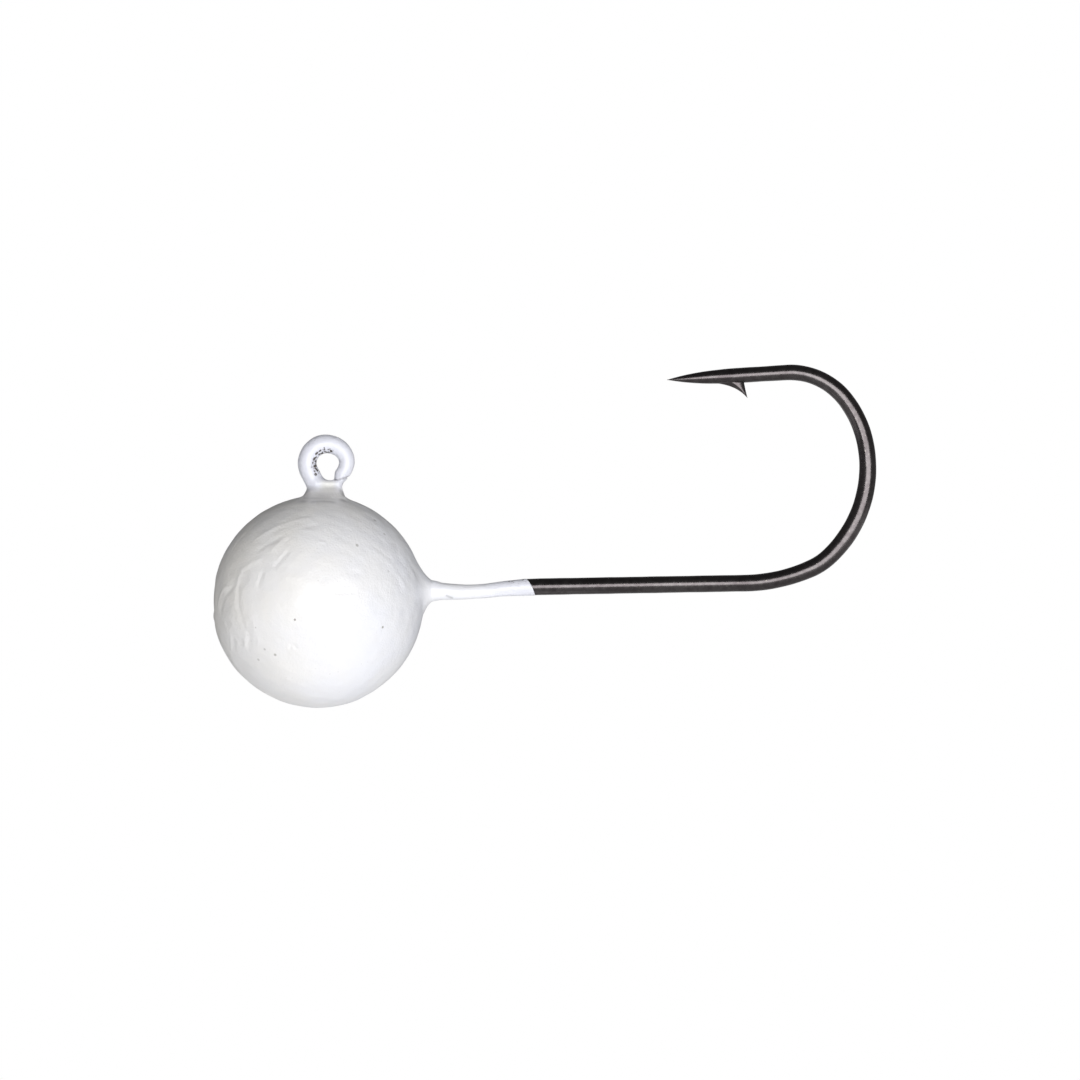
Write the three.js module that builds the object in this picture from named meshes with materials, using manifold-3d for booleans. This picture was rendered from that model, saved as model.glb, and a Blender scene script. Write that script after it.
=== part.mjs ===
// Painted ball jig head: a jig hook cast into a round lead head, under one coat of white enamel that covers
// the head, the line eye and the first stretch of the shank.
// Millimetres, +Z up. The hook lies in the XZ plane, the origin is the centre of the line eye, the eye's hole
// runs along Y, and +X points from the head along the shank to the bend.
import * as THREE from "three";
import { mergeVertices } from "three/addons/utils/BufferGeometryUtils.js";
import Module from "manifold-3d";

// Driving dimensions, in millimetres and degrees.
const WIRE_RADIUS = 0.525; // hook wire, 1.05 mm across
const EYE_RADIUS = 1.22; // centreline of the line eye
const WIRE_END_DROP = 0.95; // the wire stops this far below the eye's centre, beside the leg
const WIRE_END_LEAN = 13; // and leans in under the eye by this angle
const LEG_SLANT = 27; // the leg leaves the eye this far from upright
const SLANT_LENGTH = 0.8;
const SLANT_RADIUS = 1; // where the leg turns upright
const SHANK_DROP = 8.06; // the shank's centreline below the eye's centre, where it leaves the kink
const SHANK_DROOP = 1.5; // its fall from level there, hidden in the lead
const KINK_RADIUS = 2; // the bend inside the lead, from the leg to the shank
const TAPER_LENGTH = 5; // ground stretch behind the hook's point
const TAPER_POWER = 2.2; // how full the ground stretch is
const TIP_RADIUS = 0.035;
const BARB_THICKNESS = 0.5; // across the wire, along Y
const BALL_RADIUS = 6.65; // bare lead
const BALL_CENTRE = [-0.53, 0, -8.85];
const NECK_CENTRE_X = -0.13; // the short cast neck under the eye
const NECK_WIDTH = 1.9; // along X
const NECK_DEPTH = 1.6; // along Y
const NECK_TOP = -1.75;
const NECK_HEIGHT = 2.2; // from its foot, inside the ball
const NECK_FLARE = { radius: 0.75, height: 0.7 }; // where it spreads into the ball
const COLLAR_TIP_X = 6.8; // where the cast collar round the shank ends
const COLLAR_HEIGHT = 2.6;
const COLLAR_FLARE = { radius: 1.3, height: 1.15 };
const COAT = 0.15; // enamel on the lead
const WIRE_COAT = 0.075; // enamel on the wire
const COAT_SEAM_Z = -1.6; // between the head's and the eye's stretch of the coat
const COAT_EDGE_X = 13.05; // where the coat ends on the shank
const COAT_EDGE_TILT = 25; // lean of that end: the underside is covered further along
const WEB_THICKNESS = 0.7; // of the enamel that fills the notch between the leg and the wire's end
const GAP = 0.03; // kept between the faceted faces of two pieces that touch

// Facets.
const SIDES = 12; // of the round wire
const BALL_SEGMENTS = 36;
const BALL_RINGS = 20;
const BOSS_SEGMENTS = 24;
const FLARE_STEPS = 5;

const radians = THREE.MathUtils.degToRad;
const wasm = await Module();
wasm.setup();

// ---- The hook's centreline: runs walked one after another ----

// A straight run has a length. A bent one has a turn, positive to the left, and a radius.
// Stations are the number of wire sections that a run is divided into.
const kinkTurn = 90 - SHANK_DROOP;
const slantDrop = EYE_RADIUS * Math.sin(radians(LEG_SLANT)) + SLANT_LENGTH * Math.cos(radians(LEG_SLANT));
const legTop = slantDrop + SLANT_RADIUS * Math.sin(radians(LEG_SLANT));
const legLength = SHANK_DROP - legTop - KINK_RADIUS * Math.sin(radians(kinkTurn));

const endRadius = WIRE_END_DROP / Math.sin(radians(WIRE_END_LEAN));
const EYE_RUNS = [
  { turn: WIRE_END_LEAN, radius: endRadius, stations: 2 },
  { turn: 180 + LEG_SLANT, radius: EYE_RADIUS, stations: 16 },
  { length: SLANT_LENGTH, stations: 1 },
  { turn: -LEG_SLANT, radius: SLANT_RADIUS, stations: 3 },
];
const CAST_RUNS = [
  { length: legLength, stations: 1 },
  { turn: kinkTurn, radius: KINK_RADIUS, stations: 8 },
  { length: 5.6, stations: 1 },
];
const SLEEVE_RUNS = [
  { length: 1.63, stations: 1 },
  { turn: 8.5, radius: 12, stations: 2 },
  { turn: -6, radius: 34, stations: 2 },
];
const BEND_RUNS = [
  { length: 12.92, stations: 2 },
  { turn: 23.2, radius: 10.8, stations: 3 },
  { turn: 18.6, radius: 4.1, stations: 2 },
  { turn: 60.3, radius: 7.8, stations: 7 },
  { turn: 25.3, radius: 6.66, stations: 3 },
  { turn: 55.1, radius: 4.46, stations: 6 },
  { length: 2.63, stations: 1 },
  { length: TAPER_LENGTH, stations: 8 },
];

// One wire section's distance on from the last, along a run.
function stepOn({ x, z, heading }, run) {
  if (run.turn === undefined) {
    const length = run.length / run.stations;
    return { x: x + length * Math.cos(heading), z: z + length * Math.sin(heading), heading };
  }
  const turned = heading + radians(run.turn) / run.stations;
  const radius = run.radius * Math.sign(run.turn);
  return {
    x: x + radius * (Math.sin(turned) - Math.sin(heading)),
    z: z - radius * (Math.cos(turned) - Math.cos(heading)),
    heading: turned,
  };
}

// The stations of several runs, from a first station on.
function walk(first, runs) {
  const stations = [first];
  for (const run of runs) {
    for (let i = 0; i < run.stations; i++) {
      stations.push(stepOn(stations.at(-1), run));
    }
  }
  return stations;
}

// A path through stations, with one wire section at each, square to the wire.
class WirePath extends THREE.Curve {
  constructor(stations) {
    super();
    this.stations = stations;
  }

  nearest(u) {
    return this.stations[Math.round(u * (this.stations.length - 1))];
  }

  getPointAt(u, target = new THREE.Vector3()) {
    const { x, z } = this.nearest(u);
    return target.set(x, 0, z);
  }

  getTangentAt(u, target = new THREE.Vector3()) {
    const { heading } = this.nearest(u);
    return target.set(Math.cos(heading), 0, Math.sin(heading));
  }
}

// A round rod along stations.
function rod(stations, radius) {
  const section = new THREE.Shape().absarc(0, 0, radius, 0, 2 * Math.PI);
  return new THREE.ExtrudeGeometry(section, {
    steps: stations.length - 1,
    curveSegments: SIDES / 2,
    extrudePath: new WirePath(stations),
  });
}

// Stations with the first and last moved outwards along the wire, so that a cutter runs past both ends.
function lengthened(stations, before, after) {
  const moved = stations.map((station) => ({ ...station }));
  for (const [station, by] of [[moved[0], -before], [moved.at(-1), after]]) {
    station.x += by * Math.cos(station.heading);
    station.z += by * Math.sin(station.heading);
  }
  return moved;
}

// ---- Solids ----

// A closed geometry as a solid that can be joined and cut.
function solid(geometry) {
  const bare = geometry.clone();
  bare.deleteAttribute("normal");
  bare.deleteAttribute("uv");
  const merged = mergeVertices(bare, 1e-4);
  return new wasm.Manifold(
    new wasm.Mesh({
      numProp: 3,
      vertProperties: merged.attributes.position.array,
      triVerts: new Uint32Array(merged.index.array),
    }),
  );
}

// A named mesh made from a solid.
function piece(name, body, material) {
  const { vertProperties, triVerts } = body.getMesh();
  const geometry = new THREE.BufferGeometry();
  geometry.setAttribute("position", new THREE.BufferAttribute(vertProperties, 3));
  geometry.setIndex(new THREE.BufferAttribute(triVerts, 1));
  geometry.computeVertexNormals();
  const mesh = new THREE.Mesh(geometry, material);
  mesh.name = name;
  return mesh;
}

// A box between two corners.
function block(low, high) {
  const size = low.map((value, i) => high[i] - value);
  const middle = low.map((value, i) => (high[i] + value) / 2);
  return new THREE.BoxGeometry(...size).translate(...middle);
}

// A flat plate of an outline in the XY plane, with its mid-plane at Z = 0.
function plate(outline, thickness) {
  const settings = { depth: thickness, bevelEnabled: false, curveSegments: 5 };
  return new THREE.ExtrudeGeometry(outline, settings).translate(0, 0, -thickness / 2);
}

// A turned boss along +Z, its tip at the origin, that flares outwards by a concave arc and then runs straight
// down to its foot.
function flaredBoss(tipRadius, height, flare) {
  const profile = [];
  for (let i = 0; i <= FLARE_STEPS; i++) {
    const down = flare.height * (1 - i / FLARE_STEPS);
    const radius = tipRadius + flare.radius - Math.sqrt(flare.radius ** 2 - down ** 2);
    profile.push(new THREE.Vector2(radius, -down));
  }
  profile.unshift(new THREE.Vector2(0, -height), new THREE.Vector2(profile[0].x, -height));
  profile.push(new THREE.Vector2(0, 0));
  return new THREE.LatheGeometry(profile, BOSS_SEGMENTS).rotateX(Math.PI / 2);
}

// The head's outer form, grown outwards by a thickness: the ball, the neck under the eye and the collar round
// the shank.
function headForm(grown, neckTop, collarTip) {
  const ball = new THREE.SphereGeometry(BALL_RADIUS + grown, BALL_SEGMENTS, BALL_RINGS);
  ball.rotateX(Math.PI / 2);
  ball.translate(...BALL_CENTRE);

  const neckRadius = NECK_WIDTH / 2 + grown;
  const neck = flaredBoss(neckRadius, NECK_HEIGHT, NECK_FLARE);
  neck.scale(1, (NECK_DEPTH / 2 + grown) / neckRadius, 1);
  neck.translate(NECK_CENTRE_X, 0, neckTop);

  const shank = shankStations[0];
  const collar = flaredBoss(WIRE_RADIUS + grown, COLLAR_HEIGHT, COLLAR_FLARE);
  collar.rotateY(Math.PI / 2 - shank.heading);
  collar.translate(collarTip, 0, shank.z + (collarTip - shank.x) * Math.tan(shank.heading));
  return solid(ball).add(solid(neck)).add(solid(collar));
}

// Thins the wire's last stretch to a needle point, section by section.
function grindPoint(geometry, tip) {
  const direction = new THREE.Vector3(Math.cos(tip.heading), 0, Math.sin(tip.heading));
  const end = new THREE.Vector3(tip.x, 0, tip.z);
  const positions = geometry.getAttribute("position");
  const vertex = new THREE.Vector3();
  for (let i = 0; i < positions.count; i++) {
    vertex.fromBufferAttribute(positions, i);
    const before = end.clone().sub(vertex).dot(direction);
    const aside = vertex.clone().addScaledVector(direction, before).sub(end);
    if (before < TAPER_LENGTH && aside.length() < 2 * WIRE_RADIUS) {
      const fullness = 1 - (1 - Math.max(before, 0) / TAPER_LENGTH) ** TAPER_POWER;
      const share = Math.max(fullness, TIP_RADIUS / WIRE_RADIUS);
      vertex.addScaledVector(aside, share - 1);
      positions.setXYZ(i, vertex.x, vertex.y, vertex.z);
    }
  }
  return geometry;
}

// The barb: a sliver cut from the underside of the point and bent out, curved in front and straight behind.
// Its outline is drawn with x measured back from the tip and y from the wire's axis towards the shank.
function barb(tip) {
  const outline = new THREE.Shape()
    .moveTo(3.15, 0.1)
    .lineTo(3.28, 0.4)
    .quadraticCurveTo(4.7, 0.62, 5.08, 1.36)
    .quadraticCurveTo(5.02, 0.9, 4.86, 0.42)
    .lineTo(4.86, 0.1)
    .closePath();
  const geometry = plate(outline, BARB_THICKNESS);
  const back = new THREE.Vector3(-Math.cos(tip.heading), 0, -Math.sin(tip.heading));
  const inwards = new THREE.Vector3(-Math.sin(tip.heading), 0, Math.cos(tip.heading));
  const placed = new THREE.Matrix4().makeBasis(back, inwards, new THREE.Vector3(0, 1, 0));
  placed.setPosition(tip.x, 0, tip.z);
  return geometry.applyMatrix4(placed);
}

// ---- The assembly ----

const wireEnd = {
  x: EYE_RADIUS - endRadius * (1 - Math.cos(radians(WIRE_END_LEAN))),
  z: -WIRE_END_DROP,
  heading: radians(90 - WIRE_END_LEAN),
};
const eyeStations = walk(wireEnd, EYE_RUNS);
const castStations = walk(eyeStations.at(-1), CAST_RUNS);
const shankStations = walk(castStations.at(-1), SLEEVE_RUNS);
const bendStations = walk(shankStations.at(-1), BEND_RUNS);
const coveredStations = [...eyeStations, ...castStations.slice(1), ...shankStations.slice(1)];
const hookStations = [...coveredStations, ...bendStations.slice(1)];
const tip = hookStations.at(-1);

// Everything the wire passes through is cut by the wire's own path, a little wider.
const wireRoom = solid(rod(lengthened(coveredStations, GAP, 0), WIRE_RADIUS + GAP));

const wire = solid(grindPoint(rod(hookStations, WIRE_RADIUS), tip));
const hook = wire.add(solid(barb(tip)));

const leadHead = headForm(0, NECK_TOP, COLLAR_TIP_X).subtract(wireRoom);

const headCoat = headForm(COAT, COAT_SEAM_Z, COLLAR_TIP_X + COAT)
  .subtract(headForm(GAP, NECK_TOP + GAP, COLLAR_TIP_X + GAP))
  .subtract(wireRoom);

// Between the leg and the wire's end the coat fills the notch with a thin web.
const web = new THREE.Shape()
  .moveTo(-0.9, COAT_SEAM_Z - 0.2)
  .lineTo(0.86, COAT_SEAM_Z - 0.2)
  .quadraticCurveTo(0.9, -1.2, 1.3, -1)
  .lineTo(1.3, -0.8)
  .lineTo(0.66, -0.8)
  .quadraticCurveTo(0.1, -1.3, -0.5, -0.95)
  .closePath();
const webGeometry = plate(web, WEB_THICKNESS);
webGeometry.rotateX(Math.PI / 2);
const aboveSeam = solid(block([-3, -3, COAT_SEAM_Z + GAP], [3, 3, 3]));
const coatedEye = lengthened([...eyeStations, castStations[1]], WIRE_COAT, 0);
const eyeCoat = solid(rod(coatedEye, WIRE_RADIUS + WIRE_COAT))
  .add(solid(webGeometry))
  .intersect(aboveSeam)
  .subtract(wireRoom);

// The sleeve of enamel on the shank, from the collar to its slanted end.
const sleeveStart = COLLAR_TIP_X + COAT + GAP;
const beyondEdge = block([0, -3, -3], [6, 3, 3]);
beyondEdge.rotateY(radians(-COAT_EDGE_TILT));
beyondEdge.translate(COAT_EDGE_X, 0, -8);
const shankCoat = solid(rod(shankStations, WIRE_RADIUS + WIRE_COAT))
  .subtract(solid(block([0, -3, -12], [sleeveStart, 3, -4])))
  .subtract(solid(beyondEdge))
  .subtract(wireRoom);

const blackNickel = new THREE.MeshStandardMaterial({ color: 0x2c2624, roughness: 0.25, metalness: 1 });
const castLead = new THREE.MeshStandardMaterial({ color: 0x7d7f82, roughness: 0.6, metalness: 1 });
const enamel = () => new THREE.MeshStandardMaterial({ color: 0xf3f3f4, roughness: 0.35, metalness: 0 });

const jigHead = new THREE.Group();
jigHead.name = "jig_head";
jigHead.add(piece("hook", hook, blackNickel));
jigHead.add(piece("lead_head", leadHead, castLead));
jigHead.add(piece("head_paint", headCoat, enamel()));
jigHead.add(piece("eye_paint", eyeCoat, enamel()));
jigHead.add(piece("shank_paint", shankCoat, enamel()));

export default jigHead;
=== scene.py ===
"""A painted ball jig head: a black nickel hook, cast into a lead ball, under one coat of white enamel.

Shapes are worked out in millimetres, with X along the shank, Z up and the hook in the plane Y = 0.
"""

import logging
import math
from collections.abc import Sequence
from dataclasses import dataclass
from enum import Enum

import bmesh
import bpy
import numpy as np
from mathutils import Matrix, Vector


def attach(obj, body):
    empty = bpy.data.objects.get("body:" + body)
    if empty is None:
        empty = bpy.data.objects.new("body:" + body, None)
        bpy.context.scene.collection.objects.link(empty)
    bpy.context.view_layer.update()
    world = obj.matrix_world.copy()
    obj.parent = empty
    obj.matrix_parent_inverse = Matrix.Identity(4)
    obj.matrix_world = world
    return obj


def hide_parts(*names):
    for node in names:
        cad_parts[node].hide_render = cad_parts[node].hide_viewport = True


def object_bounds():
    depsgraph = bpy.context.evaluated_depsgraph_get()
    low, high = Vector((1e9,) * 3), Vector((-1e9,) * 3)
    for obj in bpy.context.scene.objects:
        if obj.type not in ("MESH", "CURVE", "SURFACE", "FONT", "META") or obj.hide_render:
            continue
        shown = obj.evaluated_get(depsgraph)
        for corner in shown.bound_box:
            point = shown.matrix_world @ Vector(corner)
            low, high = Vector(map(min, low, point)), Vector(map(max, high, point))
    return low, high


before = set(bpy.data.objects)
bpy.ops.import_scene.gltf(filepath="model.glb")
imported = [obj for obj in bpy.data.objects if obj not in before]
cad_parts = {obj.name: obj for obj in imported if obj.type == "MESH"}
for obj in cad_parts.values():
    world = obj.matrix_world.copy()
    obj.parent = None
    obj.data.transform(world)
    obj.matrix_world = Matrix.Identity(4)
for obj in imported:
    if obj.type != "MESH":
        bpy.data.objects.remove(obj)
cad_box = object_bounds()

log = logging.getLogger("jig_head")

MM = 0.001
FINE_ABOVE = -2.9
FINE_BEYOND = 12.4

Colour = tuple[float, float, float]
Spot2D = tuple[float, float]
Corner = tuple[float, float, float]


class Body(Enum):
    """The bodies that pieces ride on."""

    ROOT = "root"


class Slot(Enum):
    """The record's material slots."""

    HOOK = "hook"
    LEAD = "lead"
    ENAMEL = "enamel"


class Node(Enum):
    """The frame's nodes."""

    HOOK = "hook"
    LEAD = "lead_head"
    HEAD_PAINT = "head_paint"
    EYE_PAINT = "eye_paint"
    SHANK_PAINT = "shank_paint"


class Op(Enum):
    """The operations that shader expressions use."""

    ADD = "ADD"
    SUBTRACT = "SUBTRACT"
    MULTIPLY = "MULTIPLY"
    MAXIMUM = "MAXIMUM"


# ---------------------------------------------------------------- shader expressions


class Signal:
    """A shader value that Python expressions can work on."""

    def __init__(self, bench: "Bench", socket: bpy.types.NodeSocket) -> None:
        """Wraps one output socket of a bench's node tree."""
        self.bench = bench
        self.socket = socket

    def _join(self, operation: Op, first: "Signal | float", second: "Signal | float") -> "Signal":
        """Adds a Math node.

        Args:
            operation: what the node does.
            first: its first value.
            second: its second value.

        Returns:
            The node's result.
        """
        settings = {"operation": operation.value}
        node = self.bench.node("ShaderNodeMath", settings, {0: first, 1: second})
        return Signal(self.bench, node.outputs[0])

    def __add__(self, other: "Signal | float") -> "Signal":
        """self + other."""
        return self._join(Op.ADD, self, other)

    def __radd__(self, other: float) -> "Signal":
        """other + self."""
        return self._join(Op.ADD, other, self)

    def __sub__(self, other: "Signal | float") -> "Signal":
        """self - other."""
        return self._join(Op.SUBTRACT, self, other)

    def __rsub__(self, other: float) -> "Signal":
        """other - self."""
        return self._join(Op.SUBTRACT, other, self)

    def __mul__(self, other: "Signal | float") -> "Signal":
        """self * other."""
        return self._join(Op.MULTIPLY, self, other)

    def __rmul__(self, other: float) -> "Signal":
        """other * self."""
        return self._join(Op.MULTIPLY, other, self)

    def over(self, other: "Signal | float") -> "Signal":
        """The larger of the two values."""
        return self._join(Op.MAXIMUM, self, other)

    def step(self, low: float, high: float) -> "Signal":
        """Rises smoothly from 0 at low to 1 at high, or falls where low is above high.

        Args:
            low: the value that gives 0.
            high: the value that gives 1.

        Returns:
            A value from 0 to 1.
        """
        start, end, first, last = (low, high, 0.0, 1.0) if low < high else (high, low, 1.0, 0.0)
        ends = {"From Min": start, "From Max": end, "To Min": first, "To Max": last}
        node = self.bench.node(
            "ShaderNodeMapRange",
            {"interpolation_type": "SMOOTHSTEP"},
            {"Value": self, **ends},
        )
        return Signal(self.bench, node.outputs[0])


class Bench:
    """A node tree, and the one method that adds nodes to it."""

    def __init__(self, tree: bpy.types.NodeTree) -> None:
        """Takes over a tree and empties it."""
        self.tree = tree
        self.tree.nodes.clear()

    def node(
        self,
        kind: str,
        settings: dict[str, object] | None = None,
        inputs: dict[int | str, object] | None = None,
    ) -> bpy.types.Node:
        """Adds a node.

        Args:
            kind: the node's type.
            settings: its properties, which are set first.
            inputs: a number, a colour, a Signal or a socket for each named or counted input.

        Returns:
            The new node.
        """
        made = self.tree.nodes.new(kind)
        for name, value in (settings or {}).items():
            setattr(made, name, value)
        for name, value in (inputs or {}).items():
            if isinstance(value, Signal):
                self.tree.links.new(value.socket, made.inputs[name])
            elif isinstance(value, bpy.types.NodeSocket):
                self.tree.links.new(value, made.inputs[name])
            else:
                made.inputs[name].default_value = value
        return made

    def place(self) -> bpy.types.NodeSocket:
        """The point's place on the object, in metres."""
        return self.node("ShaderNodeTexCoord").outputs["Object"]

    def noise(self, place: bpy.types.NodeSocket, size: float, detail: float = 2.0) -> Signal:
        """Soft random blotches of a size in millimetres, around 0.5, with finer layers as detail."""
        inputs = {"Vector": place, "Scale": 1.0 / (size * MM), "Detail": detail}
        return Signal(self, self.node("ShaderNodeTexNoise", None, inputs).outputs[0])

    def near(
        self, place: bpy.types.NodeSocket, spot: Sequence[float], radius: float, blur: float
    ) -> Signal:
        """A round spot.

        Args:
            place: the point to look up.
            spot: the middle of the spot, in millimetres.
            radius: its radius, in millimetres.
            blur: the width of its soft edge, in millimetres.

        Returns:
            1 inside the spot and 0 outside it.
        """
        centre = tuple(value * MM for value in spot)
        node = self.node("ShaderNodeVectorMath", {"operation": "DISTANCE"}, {0: place, 1: centre})
        distance = Signal(self, node.outputs["Value"])
        return distance.step((radius + blur / 2) * MM, (radius - blur / 2) * MM)

    def along(self, place: bpy.types.NodeSocket, direction: Sequence[float]) -> Signal:
        """Measures how far the point lies along a direction.

        Args:
            place: the point to look up.
            direction: the direction, whose length multiplies the result.

        Returns:
            The distance, in metres where place is in metres.
        """
        node = self.node(
            "ShaderNodeVectorMath", {"operation": "DOT_PRODUCT"}, {0: place, 1: tuple(direction)}
        )
        return Signal(self, node.outputs["Value"])

    def colour(
        self,
        factor: Signal | float,
        first: Colour | bpy.types.NodeSocket,
        second: Colour | bpy.types.NodeSocket,
    ) -> bpy.types.NodeSocket:
        """Mixes two colours.

        Args:
            factor: 0 for the first colour and 1 for the second.
            first: a colour, or a socket that holds one.
            second: the same.

        Returns:
            The mixed colour's socket.
        """
        ends = [(*c, 1.0) if isinstance(c, tuple) else c for c in (first, second)]
        node = self.node(
            "ShaderNodeMix", {"data_type": "RGBA"}, {0: factor, 6: ends[0], 7: ends[1]}
        )
        return node.outputs[2]

    def bump(self, height: Signal, depth: float) -> bpy.types.NodeSocket:
        """The normal of a surface whose height, from 0 to 1, is a depth in millimetres."""
        node = self.node("ShaderNodeBump", None, {"Distance": depth * MM, "Height": height})
        return node.outputs["Normal"]


# ---------------------------------------------------------------- finishes


class Finish:
    """A material made of nodes."""

    name = "finish"

    def material(self) -> bpy.types.Material:
        """Builds the material.

        Returns:
            The finished material.
        """
        made = bpy.data.materials.new(self.name)
        made.use_nodes = True
        bench = Bench(made.node_tree)
        surface = bench.node("ShaderNodeBsdfPrincipled", None, self.inputs(bench))
        bench.node("ShaderNodeOutputMaterial", None, {"Surface": surface.outputs[0]})
        return made

    def inputs(self, bench: Bench) -> dict[int | str, object]:
        """The values of the surface's sockets."""
        raise NotImplementedError


@dataclass(frozen=True)
class BlackNickel(Finish):
    """Dark plating over drawn wire, faintly mottled, with brighter rubbed specks."""

    name: str = "black_nickel"
    deep: Colour = (0.066, 0.058, 0.060)
    pale: Colour = (0.106, 0.098, 0.099)
    rubbed: Colour = (0.30, 0.28, 0.24)
    roughness: float = 0.19
    mottle_size: float = 0.30
    grain_size: float = 0.08
    cloud_size: float = 2.2
    speck_size: float = 0.11
    relief: float = 0.006

    def inputs(self, bench: Bench) -> dict[int | str, object]:
        """The plating's colour, gloss and fine texture.

        Args:
            bench: the material's node tree.

        Returns:
            A value for each socket that the plating sets.
        """
        place = bench.place()
        mottle = bench.noise(place, self.mottle_size, 4.0)
        grain = bench.noise(place, self.grain_size, 3.0)
        cloud = bench.noise(place, self.cloud_size, 2.0)
        tone = (0.6 * mottle + 0.4 * cloud).step(0.30, 0.70)
        specks = bench.noise(place, self.speck_size, 1.0).step(0.70, 0.78)
        plating = bench.colour(tone, self.deep, self.pale)
        return {
            "Base Color": bench.colour(0.5 * specks, plating, self.rubbed),
            "Metallic": 1.0,
            "Roughness": self.roughness + 0.10 * (mottle - 0.5) + 0.06 * grain,
            "Normal": bench.bump(0.6 * mottle + 0.4 * grain, self.relief),
        }


@dataclass(frozen=True)
class CastLead(Finish):
    """Dull grey cast lead with a chilled, pitted skin."""

    name: str = "cast_lead"
    dull: Colour = (0.17, 0.18, 0.20)
    fresh: Colour = (0.40, 0.41, 0.43)
    roughness: float = 0.42
    cloud_size: float = 1.6
    pit_size: float = 0.22
    relief: float = 0.05

    def inputs(self, bench: Bench) -> dict[int | str, object]:
        """The lead's colour, gloss and pitted skin.

        Args:
            bench: the material's node tree.

        Returns:
            A value for each socket that the lead sets.
        """
        place = bench.place()
        cloud = bench.noise(place, self.cloud_size, 4.0)
        pits = bench.noise(place, self.pit_size, 3.0)
        return {
            "Base Color": bench.colour(cloud.step(0.35, 0.75), self.dull, self.fresh),
            "Metallic": 0.9,
            "Roughness": self.roughness + 0.3 * pits,
            "Normal": bench.bump(pits, self.relief),
        }


@dataclass(frozen=True)
class Speck:
    """A dark grain caught in the enamel on the front of the ball."""

    x: float
    z: float
    radius: float
    strength: float


@dataclass(frozen=True)
class Enamel(Finish):
    """Dipped white enamel: satin, slightly uneven, with grains and bare patches, painted shade in its
    cracks, on its web and round its neck, and a painted cool and warm light cast from side to side.
    """

    name: str = "white_enamel"
    # warm and cool make a painted light cast: cool towards the lower right, where the light falls, warm
    # towards the left
    warm: Colour = (0.875, 0.855, 0.820)
    cool: Colour = (0.825, 0.838, 0.900)
    thin: Colour = (0.745, 0.755, 0.830)
    # painted shade: a greyer, warm tone for the recessed web
    web: Colour = (0.760, 0.755, 0.735)
    # painted shade: the dark colour laid in the cracks and round and under the neck
    painted_shade: Colour = (0.30, 0.29, 0.30)
    grain: Colour = (0.20, 0.18, 0.15)
    steel: Colour = (0.20, 0.18, 0.16)
    roughness: float = 0.42
    clear: float = 0.35
    clear_roughness: float = 0.22
    cloud_size: float = 3.4
    ripple_size: float = 0.9
    tooth_size: float = 0.12
    dust_size: float = 0.2
    chip_size: float = 0.16
    painted_shade_strength: float = 0.42
    dust_strength: float = 0.15
    relief: float = 0.10
    ball: "Ball | None" = None
    specks: tuple[Speck, ...] = ()

    def inputs(self, bench: Bench) -> dict[int | str, object]:
        """The enamel's colour, gloss and brushed, pitted skin.

        Args:
            bench: the material's node tree.

        Returns:
            A value for each socket that the enamel sets.
        """
        place = bench.place()
        cloud = bench.noise(place, self.cloud_size, 3.0)
        ripple = bench.noise(place, self.ripple_size, 3.0)
        tooth = bench.noise(place, self.tooth_size, 2.0)
        # painted light: the white turns cooler towards the lower right and warmer towards the left,
        # mixed with a random tone
        light_side_cast = bench.along(place, (1.0, 0.0, -0.35)).step(-0.006, 0.012)
        light_cast_and_tone = 0.75 * light_side_cast + 0.25 * cloud.step(0.35, 0.65)
        white = bench.colour(light_cast_and_tone, self.warm, self.cool)
        over_wire = bench.colour(self._attribute(bench, "thin"), white, self.thin)
        # painted shade: greyer over the recessed web
        flat = bench.colour(self._attribute(bench, "web"), over_wire, self.web)
        # painted shade: darker in the cracks and round and under the neck
        painted_shade_amount = self._attribute(bench, "painted_shade") * self.painted_shade_strength
        with_painted_shade = bench.colour(painted_shade_amount, flat, self.painted_shade)
        dust = bench.noise(place, self.dust_size, 0.0).step(0.84, 0.87)
        dots = self._grains(bench, place).over(self.dust_strength * dust)
        dotted = bench.colour(dots, with_painted_shade, self.grain)
        chip = bench.noise(place, self.chip_size, 3.0)
        bare = self._attribute(bench, "bare")
        worn = (0.50 * bare + 1.8 * (chip - 0.5)).step(0.44, 0.62) * bare.step(0.05, 0.3)
        return {
            "Base Color": bench.colour(worn, dotted, self.steel),
            "Metallic": 0.85 * worn,
            "Roughness": self.roughness + 0.12 * (ripple - 0.5),
            "Coat Weight": self.clear * (1.0 - worn),
            "Coat Roughness": self.clear_roughness,
            "Normal": bench.bump(0.80 * ripple + 0.20 * tooth - 0.4 * worn, self.relief),
        }

    def _attribute(self, bench: Bench, name: str) -> Signal:
        """A value that the coat's mesh carries on its points."""
        node = bench.node("ShaderNodeAttribute", {"attribute_name": name})
        return Signal(bench, node.outputs["Fac"])

    def _grains(self, bench: Bench, place: bpy.types.NodeSocket) -> Signal:
        """All the single dark grains on the ball.

        Args:
            bench: the material's node tree.
            place: the point to look up.

        Returns:
            A value that is highest in the middle of a grain.
        """
        total = None
        for speck in self.specks:
            spot = self.ball.front(speck.x, speck.z)
            grain = speck.strength * bench.near(place, spot, speck.radius, 0.9 * speck.radius)
            total = grain if total is None else total.over(grain)
        return total


# ---------------------------------------------------------------- wire routes and lofts


@dataclass(frozen=True)
class Run:
    """One stretch of wire: straight for a length, or round a turn of a radius. Left turns count up."""

    length: float = 0.0
    turn: float = 0.0
    radius: float = 0.0

    def travel(self) -> float:
        """The distance along the wire, in millimetres."""
        return self.length or math.radians(abs(self.turn)) * self.radius


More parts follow.
